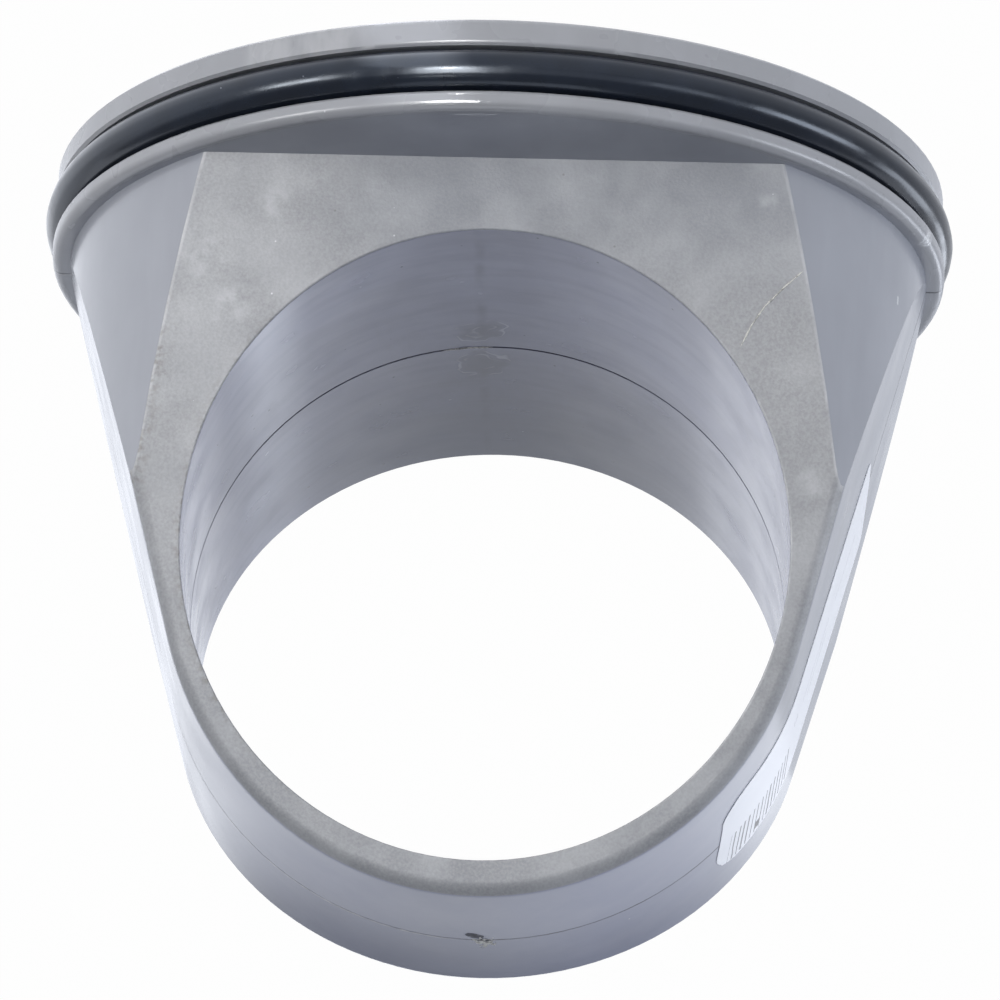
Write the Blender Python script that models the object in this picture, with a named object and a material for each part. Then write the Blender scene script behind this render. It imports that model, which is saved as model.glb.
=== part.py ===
"""Cleanout plug for a 110 mm soil pipe, as one moulded body and its rubber seal ring.

The plug stands on the outer face of its disc, so +Z is the way it goes into the fitting.
The pipe's bore runs through the body along Y, and the mould parts in the plane Y = 0.
Lengths are in metres and angles in degrees.
"""

import math

import bmesh
import bpy
from mathutils import Vector

# Pipe bore and the wall round it
BORE_RADIUS = 0.052
BORE_DRAFT = 0.2
SIDE_WALL = 0.00415
CROWN_EXTRA = 0.0019
WALL_DRAFT = 0.6
FLARE_ANGLE = 15.0
ROOF_THICKNESS = 0.0122

# End faces, which lean towards each other from the flange to the crown
HALF_LENGTH_AT_BORE = 0.0399
FACE_TAPER = 15.1
FACE_ROUNDING = 0.0022

# Corners turned to the round socket
CORNER_DRAFT = 2.1

# Seal flange, groove and disc
SHOULDER_WIDTH = 0.0032
SEAL_FLANGE_THICKNESS = 0.0033
SEAL_FLANGE_ROUNDING = 0.0016
DISC_SETBACK = 0.0004
DISC_THICKNESS = 0.0047
EDGE_BREAK = 0.0005

# Rubber seal ring in its groove
RING_SECTION = 0.0080
RING_PROUD = 0.0014
RING_GAP = 0.0003

# Smoothness of the round forms
ARC_STEP = 3.0
RING_TURNS = 96
RING_SIDES = 16
ROUNDING_SEGMENTS = 4
SMOOTH_ANGLE = 25.0

# Allowances for joining and cutting
CUT_MARGIN = 0.005
FOOT_SHARE = 0.8
MERGE_DISTANCE = 2e-6

# Heights above the disc's outer face
GROOVE_WIDTH = RING_SECTION + 2 * RING_GAP
GROOVE_BOTTOM = DISC_THICKNESS
GROOVE_TOP = GROOVE_BOTTOM + GROOVE_WIDTH
SHOULDER_HEIGHT = GROOVE_TOP + SEAL_FLANGE_THICKNESS
BORE_HEIGHT = SHOULDER_HEIGHT + ROOF_THICKNESS + BORE_RADIUS
CROWN_CENTRE = BORE_HEIGHT + CROWN_EXTRA
FOOT_HEIGHT = SHOULDER_HEIGHT - FOOT_SHARE * SEAL_FLANGE_THICKNESS

# Radii worked out from the body, so that the flanges follow it
OUTER_RADIUS = BORE_RADIUS + SIDE_WALL
CROWN_HEIGHT = CROWN_CENTRE + OUTER_RADIUS
FLARE = math.radians(FLARE_ANGLE)
CORNER_RADIUS = OUTER_RADIUS / math.cos(FLARE) + (CROWN_CENTRE - SHOULDER_HEIGHT) * math.tan(FLARE)
SEAL_FLANGE_RADIUS = CORNER_RADIUS + SHOULDER_WIDTH
DISC_RADIUS = SEAL_FLANGE_RADIUS - DISC_SETBACK
RING_OUTER_RADIUS = SEAL_FLANGE_RADIUS + RING_PROUD
RING_CENTRE_RADIUS = RING_OUTER_RADIUS - RING_SECTION / 2
GROOVE_RADIUS = RING_OUTER_RADIUS - RING_SECTION - RING_GAP
FULL_TURN_STEPS = round(360.0 / ARC_STEP)


def clear_scene():
    for item in list(bpy.data.objects):
        bpy.data.objects.remove(item, do_unlink=True)


def plastic_or_rubber(name, colour, roughness):
    material = bpy.data.materials.new(name)
    material.use_nodes = True
    shader = material.node_tree.nodes["Principled BSDF"]
    shader.inputs["Base Color"].default_value = (*colour, 1.0)
    shader.inputs["Roughness"].default_value = roughness
    shader.inputs["Metallic"].default_value = 0.0
    return material


def object_from(name, bm):
    mesh = bpy.data.meshes.new(name)
    bmesh.ops.recalc_face_normals(bm, faces=bm.faces)
    bm.to_mesh(mesh)
    bm.free()
    item = bpy.data.objects.new(name, mesh)
    bpy.context.scene.collection.objects.link(item)
    return item


def apply_modifiers(item):
    """Keep the evaluated shape as the object's own mesh."""
    graph = bpy.context.evaluated_depsgraph_get()
    shape = bpy.data.meshes.new_from_object(item.evaluated_get(graph))
    item.modifiers.clear()
    item.data = shape


def join_or_cut(item, other, operation):
    """Boolean the other object into this one, and leave the other as a hidden guide."""
    change = item.modifiers.new(other.name, "BOOLEAN")
    change.operation = operation
    change.solver = "EXACT"
    change.object = other
    other.hide_render = True
    other.display_type = "WIRE"


def shade(item, material):
    item.data.shade_smooth()
    item.data.set_sharp_from_angle(angle=math.radians(SMOOTH_ANGLE))
    item.data.materials.clear()
    item.data.materials.append(material)


def arc(centre, radius, start, end, steps):
    """Points on a circle between two angles in degrees, both ends included."""
    angles = [math.radians(start + (end - start) * i / steps) for i in range(steps + 1)]
    return [(centre[0] + radius * math.cos(a), centre[1] + radius * math.sin(a)) for a in angles]


def wall_outline():
    """The body's outline in XZ at the parting plane, each point with the way its draft moves it in."""
    steps = round((180.0 - 2 * FLARE_ANGLE) / ARC_STEP)
    crown = arc((0.0, CROWN_CENTRE), OUTER_RADIUS, FLARE_ANGLE, 180.0 - FLARE_ANGLE, steps)
    foot = OUTER_RADIUS / math.cos(FLARE) + (CROWN_CENTRE - FOOT_HEIGHT) * math.tan(FLARE)
    outline = [(foot, FOOT_HEIGHT, 1 / math.cos(FLARE), 0.0)]
    for x, z in crown:
        outline.append((x, z, x / OUTER_RADIUS, (z - CROWN_CENTRE) / OUTER_RADIUS))
    outline.append((-foot, FOOT_HEIGHT, -1 / math.cos(FLARE), 0.0))
    return outline


def rounded_corner(wall_end, corner, face_end):
    """Points of the round that leaves the wall and ends on the face, tangent to both."""
    half = (wall_end - corner).angle(face_end - corner) / 2
    pull = math.sin(half)
    points = []
    for i in range(ROUNDING_SEGMENTS + 1):
        u = i / ROUNDING_SEGMENTS
        shares = ((1 - u) ** 2, 2 * u * (1 - u) * pull, u ** 2)
        point = shares[0] * wall_end + shares[1] * corner + shares[2] * face_end
        points.append(point / sum(shares))
    return points


def wedge_block():
    """Two drafted halves that meet at the parting plane, with a round into each tapered face."""
    draft = math.tan(math.radians(WALL_DRAFT))
    taper = math.tan(math.radians(FACE_TAPER))
    outline = wall_outline()
    halves = {}
    for side in (-1, 1):
        rounds = []
        for x, z, nx, nz in outline:
            reach = HALF_LENGTH_AT_BORE + taper * (BORE_HEIGHT - z)
            y = reach / (1 - taper * draft * nz)
            corner = Vector((x - nx * draft * y, side * y, z - nz * draft * y))
            wall_end = corner + FACE_ROUNDING * Vector((nx * draft, -side, nz * draft))
            face_end = corner + FACE_ROUNDING * Vector((-nx, side * taper * nz, -nz))
            rounds.append(rounded_corner(wall_end, corner, face_end))
        halves[side] = [list(section) for section in zip(*rounds)]
    middle = [Vector((x, 0.0, z)) for x, z, nx, nz in outline]
    bm = bmesh.new()
    sections = []
    for section in halves[-1][::-1] + [middle] + halves[1]:
        sections.append([bm.verts.new(point) for point in section])
    count = len(outline)
    for near, far in zip(sections, sections[1:]):
        for i in range(count):
            j = (i + 1) % count
            bm.faces.new((near[i], near[j], far[j], far[i]))
    bm.faces.new(sections[0])
    bm.faces.new(sections[-1])
    return object_from("plug_body", bm)


def corner_cone():
    """The drafted cone that turns the block's corners to the socket."""
    low = FOOT_HEIGHT - CUT_MARGIN
    high = CROWN_HEIGHT + CUT_MARGIN
    draft = math.tan(math.radians(CORNER_DRAFT))
    bm = bmesh.new()
    bmesh.ops.create_cone(
        bm,
        cap_ends=True,
        segments=FULL_TURN_STEPS,
        radius1=CORNER_RADIUS + (SHOULDER_HEIGHT - low) * draft,
        radius2=CORNER_RADIUS + (SHOULDER_HEIGHT - high) * draft,
        depth=high - low,
    )
    bmesh.ops.translate(bm, verts=bm.verts, vec=(0.0, 0.0, (low + high) / 2))
    return object_from("corner_cone", bm)


def turned(name, profile, steps, closed=False):
    """A solid of revolution about Z from (radius, height) points, which close on Z or on themselves."""
    bm = bmesh.new()
    points = [bm.verts.new((r, 0.0, z)) for r, z in profile]
    edges = [bm.edges.new(pair) for pair in zip(points, points[1:])]
    if closed:
        edges.append(bm.edges.new((points[-1], points[0])))
    bmesh.ops.spin(
        bm,
        geom=points + edges,
        cent=(0.0, 0.0, 0.0),
        axis=(0.0, 0.0, 1.0),
        angle=2 * math.pi,
        steps=steps,
        use_merge=True,
    )
    bmesh.ops.remove_doubles(bm, verts=bm.verts, dist=MERGE_DISTANCE)
    return object_from(name, bm)


def flanged_disc():
    """Disc, seal groove and seal flange, turned in one."""
    rim = SEAL_FLANGE_RADIUS - SEAL_FLANGE_ROUNDING
    rounding = arc(
        (rim, SHOULDER_HEIGHT - SEAL_FLANGE_ROUNDING),
        SEAL_FLANGE_ROUNDING, 0.0, 90.0, ROUNDING_SEGMENTS,
    )
    profile = [
        (0.0, 0.0),
        (DISC_RADIUS - EDGE_BREAK, 0.0),
        (DISC_RADIUS, EDGE_BREAK),
        (DISC_RADIUS, GROOVE_BOTTOM - EDGE_BREAK),
        (DISC_RADIUS - EDGE_BREAK, GROOVE_BOTTOM),
        (GROOVE_RADIUS, GROOVE_BOTTOM),
        (GROOVE_RADIUS, GROOVE_TOP),
        (SEAL_FLANGE_RADIUS - EDGE_BREAK, GROOVE_TOP),
        (SEAL_FLANGE_RADIUS, GROOVE_TOP + EDGE_BREAK),
        *rounding,
        (0.0, SHOULDER_HEIGHT),
    ]
    return turned("flanged_disc", profile, FULL_TURN_STEPS)


def bore_cutter():
    """Two cores that meet at the parting plane, each with a little draft."""
    reach = SEAL_FLANGE_RADIUS + CUT_MARGIN
    widen = reach * math.tan(math.radians(BORE_DRAFT))
    bm = bmesh.new()
    loops = []
    for y, radius in ((-reach, BORE_RADIUS + widen), (0.0, BORE_RADIUS), (reach, BORE_RADIUS + widen)):
        circle = arc((0.0, BORE_HEIGHT), radius, 0.0, 360.0 - ARC_STEP, FULL_TURN_STEPS - 1)
        loops.append([bm.verts.new((x, y, z)) for x, z in circle])
    for near, far in zip(loops, loops[1:]):
        for i in range(FULL_TURN_STEPS):
            j = (i + 1) % FULL_TURN_STEPS
            bm.faces.new((near[i], near[j], far[j], far[i]))
    bm.faces.new(loops[0])
    bm.faces.new(loops[-1])
    return object_from("bore_cutter", bm)


def make_plug_body(material):
    body = wedge_block()
    cone = corner_cone()
    join_or_cut(body, cone, "INTERSECT")
    apply_modifiers(body)
    bpy.data.objects.remove(cone, do_unlink=True)
    join_or_cut(body, flanged_disc(), "UNION")
    join_or_cut(body, bore_cutter(), "DIFFERENCE")
    weld = body.modifiers.new("merge_doubles", "WELD")
    weld.merge_threshold = MERGE_DISTANCE
    shade(body, material)
    return body


def make_seal_ring(material):
    """A round-section ring, seated in the groove with its clearance all round."""
    centre = (RING_CENTRE_RADIUS, (GROOVE_BOTTOM + GROOVE_TOP) / 2)
    last = 360.0 - 360.0 / RING_SIDES
    section = arc(centre, RING_SECTION / 2, 0.0, last, RING_SIDES - 1)
    ring = turned("seal_ring", section, RING_TURNS, closed=True)
    shade(ring, material)
    return ring


def main():
    clear_scene()
    grey_upvc = plastic_or_rubber("grey_upvc", (0.33, 0.34, 0.36), 0.45)
    black_rubber = plastic_or_rubber("black_rubber", (0.02, 0.024, 0.03), 0.4)
    make_plug_body(grey_upvc)
    make_seal_ring(black_rubber)


main()
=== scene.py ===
"""Dresses the cleanout plug: moulded grey plug, rubber seal ring, paper label and studio.

Lengths are in metres in the frame of the solid model. The plug stands on its disc, its bore
runs along Y, and the mould parts in the plane Y = 0.
"""

import math

import bmesh
import bpy
from bpy.props import FloatProperty, FloatVectorProperty, PointerProperty
from mathutils import Matrix, Vector


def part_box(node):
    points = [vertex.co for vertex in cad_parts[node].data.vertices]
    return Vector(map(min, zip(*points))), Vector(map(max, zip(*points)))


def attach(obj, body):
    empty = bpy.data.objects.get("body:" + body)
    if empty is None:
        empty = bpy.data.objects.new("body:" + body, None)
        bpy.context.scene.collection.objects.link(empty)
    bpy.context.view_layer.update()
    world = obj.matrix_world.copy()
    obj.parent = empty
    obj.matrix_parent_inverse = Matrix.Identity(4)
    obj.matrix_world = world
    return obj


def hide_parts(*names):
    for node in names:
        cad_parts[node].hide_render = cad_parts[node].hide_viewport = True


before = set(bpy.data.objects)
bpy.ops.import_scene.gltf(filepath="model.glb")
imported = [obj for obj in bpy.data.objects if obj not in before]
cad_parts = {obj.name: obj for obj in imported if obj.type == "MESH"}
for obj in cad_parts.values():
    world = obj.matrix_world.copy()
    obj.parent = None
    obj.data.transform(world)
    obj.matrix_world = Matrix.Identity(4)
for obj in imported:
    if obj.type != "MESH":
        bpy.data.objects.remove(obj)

bl_info = {
    "name": "Cleanout Plug Dresser",
    "version": (1, 0, 0),
    "blender": (4, 5, 0),
    "location": "View3D > Sidebar > Cleanout Plug",
    "description": "Models the dressed pieces of a moulded drain access plug and its studio",
    "category": "Object",
}

MM = 0.001

# Places taken from the solid model
RING_LOW, RING_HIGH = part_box("seal_ring")
RING_HEIGHT = (RING_LOW.z + RING_HIGH.z) / 2
RING_TUBE = (RING_HIGH.z - RING_LOW.z) / 2
RING_RADIUS = RING_HIGH.x - RING_TUBE
CROWN_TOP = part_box("plug_body")[1].z

# Places that the solid model doesn't name
BORE_RADIUS = 52.0 * MM
BORE_HEIGHT = 80.8 * MM
OUTER_RADIUS = 56.15 * MM
CROWN_CENTRE = 82.7 * MM
FLARE = math.radians(15.0)
FACE_LEAN = math.radians(15.1)
HALF_LENGTH = 39.9 * MM
SHOULDER_HEIGHT = 16.6 * MM
FLANGE_RADIUS = 79.042 * MM
FLANGE_ROUNDING = 3.2 * MM
CORNER_RADIUS = 75.842 * MM
CORNER_DRAFT = math.radians(2.1)

# Stage: the card for the table, its shaded part and its hole, and the streak on the floor
CARD_SIZE = 0.6
CARD_DISTANCE = 0.086
SHADE_HEIGHT = 0.122
SHADE_WIDE, SHADE_HIGH = 0.065, 0.0425
CARD_HOLE = 0.056
STREAK_SLOPE = 0.205
WHITE = (1.0, 1.0, 1.0, 1.0)
COOL_WHITE = (0.90, 0.93, 1.0, 1.0)


def linear(hex_colour):
    """An sRGB hex colour as linear values."""
    channels = []
    for start in (1, 3, 5):
        value = int(hex_colour[start:start + 2], 16) / 255
        channels.append(value / 12.92 if value <= 0.04045 else ((value + 0.055) / 1.055) ** 2.4)
    return tuple(channels)


def per_mm(size):
    """Texture scale at which one feature measures this many millimetres."""
    return 1000.0 / size


def link(tree, node, values):
    """Link or set a node's inputs. A node as a value stands for its first output in use."""
    for socket, value in values.items():
        if isinstance(value, bpy.types.Node):
            value = next(output for output in value.outputs if output.enabled)
        if isinstance(value, bpy.types.NodeSocket):
            tree.links.new(value, node.inputs[socket])
        else:
            node.inputs[socket].default_value = value


def add(tree, kind, values=None, **settings):
    """Add a node, set its properties, and link or set its inputs."""
    made = tree.nodes.new(kind)
    for name, value in settings.items():
        setattr(made, name, value)
    link(tree, made, values or {})
    return made


def face_y(z):
    """How far the end face stands from the parting plane at this height."""
    return HALF_LENGTH + math.tan(FACE_LEAN) * (BORE_HEIGHT - z)


# Selecting and finishing pieces


def only(piece):
    """Select this piece alone, in object mode."""
    if bpy.context.object and bpy.context.object.mode != "OBJECT":
        bpy.ops.object.mode_set(mode="OBJECT")
    bpy.ops.object.select_all(action="DESELECT")
    piece.select_set(True)
    bpy.context.view_layer.objects.active = piece


def pick(piece, kind, test):
    """Select the points, edges or faces that pass the test, and stay in edit mode."""
    only(piece)
    bpy.ops.object.mode_set(mode="EDIT")
    bpy.ops.mesh.select_mode(type=kind)
    bpy.ops.mesh.select_all(action="DESELECT")
    bm = bmesh.from_edit_mesh(piece.data)
    parts = {"VERT": bm.verts, "EDGE": bm.edges, "FACE": bm.faces}[kind]
    found = [part for part in parts if test(part)]
    for part in found:
        part.select_set(True)
    bm.select_flush_mode()
    bmesh.update_edit_mesh(piece.data)
    return len(found)


def leave_edit():
    """Go back from edit mode to object mode."""
    bpy.ops.object.mode_set(mode="OBJECT")


def finish_piece(piece, angle=30.0):
    """Smooth shading, place kept in the mesh, and the ride on the plug."""
    only(piece)
    bpy.ops.object.transform_apply(location=True, rotation=True, scale=True)
    bpy.ops.object.shade_smooth_by_angle(angle=math.radians(angle))
    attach(piece, "root")


def set_material(piece, material):
    """Give the piece this material alone."""
    piece.data.materials.clear()
    piece.data.materials.append(material)


def apply(piece, kind, **settings):
    """Add a modifier with these settings and apply it."""
    only(piece)
    change = piece.modifiers.new(kind.lower(), kind)
    for name, value in settings.items():
        setattr(change, name, value)
    bpy.ops.object.modifier_apply(modifier=change.name)


def from_points(name, points, thickness, swell=None):
    """A thin round bead along the points, thicker or thinner by the swell at each point."""
    curve = bpy.data.curves.new(name, "CURVE")
    curve.dimensions = "3D"
    curve.bevel_depth = thickness
    curve.bevel_resolution = 3
    curve.use_fill_caps = True
    line = curve.splines.new("POLY")
    line.points.add(len(points) - 1)
    for i, point in enumerate(points):
        line.points[i].co = (*point, 1.0)
        line.points[i].radius = swell[i] if swell else 1.0
    item = bpy.data.objects.new(name, curve)
    bpy.context.scene.collection.objects.link(item)
    only(item)
    bpy.ops.object.convert(target="MESH")
    return bpy.context.object


# Features shared by the materials


def near_place(tree, coords, centre, size, soft, ragged=None):
    """1 within the size of a place in millimetres and 0 past it, with a soft or ragged edge."""
    away = add(tree, "ShaderNodeVectorMath", {
        0: coords, 1: Vector(centre) * MM}, operation="DISTANCE")
    place = add(tree, "ShaderNodeMapRange", {
        "Value": away, "From Min": (size - soft) * MM, "From Max": (size + soft) * MM,
        "To Min": 1.0, "To Max": 0.0}, interpolation_type="SMOOTHSTEP")
    if ragged is None:
        return place
    return add(tree, "ShaderNodeMath", {0: place, 1: ragged}, operation="MULTIPLY", use_clamp=True)


def near_line(tree, value, middle, inner, outer, level=1.0, fade="LINEAR"):
    """This level where the value is close to the middle one, fading to 0 away from it."""
    off = add(tree, "ShaderNodeMath", {0: value, 1: middle}, operation="SUBTRACT")
    off = add(tree, "ShaderNodeMath", {0: off}, operation="ABSOLUTE")
    return add(tree, "ShaderNodeMapRange", {
        "Value": off, "From Min": inner, "From Max": outer, "To Min": level, "To Max": 0.0},
        interpolation_type=fade)


def from_axis(tree, coords, keep, point=(0.0, 0.0, 0.0)):
    """How far a place is from an axis through the point. Keep is 0 along it and 1 across it."""
    flat = add(tree, "ShaderNodeVectorMath", {0: coords, 1: keep}, operation="MULTIPLY")
    return add(tree, "ShaderNodeVectorMath", {0: flat, 1: point}, operation="DISTANCE")


def specks(tree, coords, cell, size, share):
    """Small dots of dust: one in each cell at most, in this share of the cells."""
    dots = add(tree, "ShaderNodeTexVoronoi", {"Vector": coords, "Scale": per_mm(cell)})
    dot = add(tree, "ShaderNodeMapRange", {
        "Value": dots.outputs["Distance"],
        "From Min": 0.5 * size / cell, "From Max": size / cell, "To Min": 1.0, "To Max": 0.0})
    lot = add(tree, "ShaderNodeSeparateColor", {"Color": dots.outputs["Color"]})
    kept = add(tree, "ShaderNodeMath", {0: lot.outputs["Red"], 1: share}, operation="LESS_THAN")
    return add(tree, "ShaderNodeMath", {0: dot, 1: kept}, operation="MULTIPLY")


def tint(tree, base, factor, colour, strength=1.0):
    """The base colour turned towards another where the factor says so."""
    amount = add(tree, "ShaderNodeMath", {0: factor, 1: strength}, operation="MULTIPLY")
    return add(tree, "ShaderNodeMix", {
        "Factor": amount, 6: base, 7: (*linear(colour), 1.0)}, data_type="RGBA")


def clouds(tree, coords, size, low, high, detail=3.0, stretch=(1.0, 1.0, 1.0)):
    """Soft patches of this size in millimetres, spread between two values."""
    place = add(tree, "ShaderNodeMapping", {"Vector": coords, "Scale": stretch})
    noise = add(tree, "ShaderNodeTexNoise", {
        "Vector": place, "Scale": per_mm(size), "Detail": detail})
    return add(tree, "ShaderNodeMapRange", {
        "Value": noise, "From Min": 0.25, "From Max": 0.75, "To Min": low, "To Max": high,
    }, interpolation_type="SMOOTHSTEP")


def clouded(tree, coords, colour, size, low, high):
    """The colour, made darker and lighter in soft patches of this size in millimetres."""
    return add(tree, "ShaderNodeHueSaturation", {
        "Value": clouds(tree, coords, size, low, high), "Color": (*colour, 1.0)})


def new_material(name, ior=1.5, roughness=0.5):
    """A material with its node tree, its shader and the piece's own coordinates."""
    material = bpy.data.materials.new(name)
    material.use_nodes = True
    tree = material.node_tree
    shader = tree.nodes["Principled BSDF"]
    link(tree, shader, {"IOR": ior, "Roughness": roughness})
    return material, tree, shader, add(tree, "ShaderNodeTexCoord").outputs["Object"]


def moulded_upvc(colour):
    """Glossy moulded uPVC: clouded grey with faint flow, dust, and whitened scuffs on its rims."""
    material, tree, shader, coords = new_material("moulded_grey_upvc", 1.53, 0.22)
    apart = add(tree, "ShaderNodeSeparateXYZ", {"Vector": coords})
    base = clouded(tree, coords, colour, 22.0, 0.95, 1.05)
    # The rims of the disc and flange are rubbed duller and greyer by handling
    rim = add(tree, "ShaderNodeMapRange", {
        "Value": from_axis(tree, coords, (1.0, 1.0, 0.0)),
        "From Min": 76.0 * MM, "From Max": 77.5 * MM})
    base = tint(tree, base, rim, "#9C9DA0", 0.6)
    # Painted reflection: the crown is tinted a little bluer and darker, for the cool table it
    # reflects
    crown = add(tree, "ShaderNodeMapRange", {
        "Value": apart.outputs["Z"], "From Min": 105.0 * MM, "From Max": 135.0 * MM})
    base = tint(tree, base, crown, "#959AB8", 0.7)
    # Pale flow streaks follow the way the plastic ran in from the crown
    flow = clouds(tree, coords, 9.0, -0.4, 1.0, 4.0, (1.0, 1.0, 0.2))
    base = tint(tree, base, flow, "#C4C6D0", 0.10)
    # The seam's groove holds a thin dark line, partly dirt and partly painted shade, a little less
    # of it on one side of the crown
    seam = near_line(tree, apart.outputs["Y"], 0.0, 0.20 * MM, 0.42 * MM)
    side = add(tree, "ShaderNodeMapRange", {
        "Value": apart.outputs["X"], "From Min": -8.0 * MM, "From Max": 14.0 * MM,
        "To Min": 1.0, "To Max": 0.7})
    darkened = add(tree, "ShaderNodeMath", {
        0: side, 1: clouds(tree, coords, 6.0, 0.6, 1.0)}, operation="MULTIPLY")
    darkened = add(tree, "ShaderNodeMath", {0: seam, 1: darkened}, operation="MULTIPLY")
    base = tint(tree, base, darkened, "#34353E", 0.85)
    # On that side, a pale line beside the seam is a painted highlight on the seam's lit edge
    burr = near_line(tree, apart.outputs["Y"], 0.42 * MM, 0.15 * MM, 0.32 * MM)
    pale = add(tree, "ShaderNodeMapRange", {
        "Value": apart.outputs["X"], "From Min": 3.0 * MM, "From Max": 10.0 * MM})
    pale = add(tree, "ShaderNodeMath", {0: burr, 1: pale}, operation="MULTIPLY")
    pale = add(tree, "ShaderNodeMath", {
        0: pale, 1: clouds(tree, coords, 2.5, 0.0, 1.4)}, operation="MULTIPLY", use_clamp=True)
    base = tint(tree, base, pale, "#DFDFE0", 0.6)
    # Handling whitens the rims of the flange and disc here and there
    ragged = clouds(tree, coords, 0.6, 0.0, 1.4, 2.0)
    scuff = near_place(tree, coords, (-75.5, -22.5, 15.9), 1.7, 0.5, ragged)
    base = tint(tree, base, scuff, "#E6E8EC", 0.8)
    # The streaky pale patch on the disc's rim is partly chalky wear and partly a painted highlight
    # of the lamp at the side
    streaky = clouds(tree, coords, 4.0, -0.2, 1.2, 4.0, (1.0, 1.0, 0.4))
    chalk_and_highlight = near_place(tree, coords, (33.0, -71.5, 2.4), 11.0, 1.5, streaky)
    base = tint(tree, base, chalk_and_highlight, "#CCCDD1", 0.38)
    for height in (28.8, 29.3, 29.8):
        fleck = near_place(tree, coords, (-70.2, -27.4, height), 0.3, 0.15)
        base = tint(tree, base, fleck, "#E2E4E8", 0.6)
    base = tint(tree, base, specks(tree, coords, 2.6, 0.20, 0.03), "#E4E6EA", 0.6)
    base = tint(tree, base, specks(tree, coords, 3.4, 0.26, 0.03), "#4A4A50", 0.6)
    # Torn gate on the crown: painted shade for a dark pit, beside whitened bits
    ragged = clouds(tree, coords, 1.1, 0.5, 1.8, 2.0)
    torn = 0.0
    for x, y, size in ((1.1, -2.6, 1.1), (0.2, -1.7, 1.2), (-0.9, 0.4, 1.3)):
        painted_pit_shade = near_place(tree, coords, (x, y, 138.8), size, 0.3, ragged)
        base = tint(tree, base, painted_pit_shade, "#26262B", 0.9)
        torn = add(tree, "ShaderNodeMath", {0: torn, 1: painted_pit_shade}, operation="MAXIMUM")
    # The rims and the pit are duller. The ejector has polished the flange round its pad, and
    # left it uneven
    polish = near_place(tree, coords, (4.5, -79.0, 15.0), 9.0, 3.0)
    rough = clouds(tree, coords, 14.0, 0.17, 0.25)
    for mark, change in ((rim, 0.07), (polish, -0.17), (torn, 0.6)):
        rough = add(tree, "ShaderNodeMath", {
            0: mark, 1: change, 2: rough}, operation="MULTIPLY_ADD")
    uneven = add(tree, "ShaderNodeMath", {0: polish, 1: 0.75, 2: 0.25}, operation="MULTIPLY_ADD")
    # Orange peel of the mould, 1.5 mm across and a few thousandths deep
    peel = clouds(tree, coords, 1.5, 0.0, 1.0, 2.0)
    bump = add(tree, "ShaderNodeBump", {"Height": peel, "Strength": uneven, "Distance": 0.012 * MM})
    link(tree, shader, {"Base Color": base, "Roughness": rough, "Normal": bump})
    return material


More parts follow.
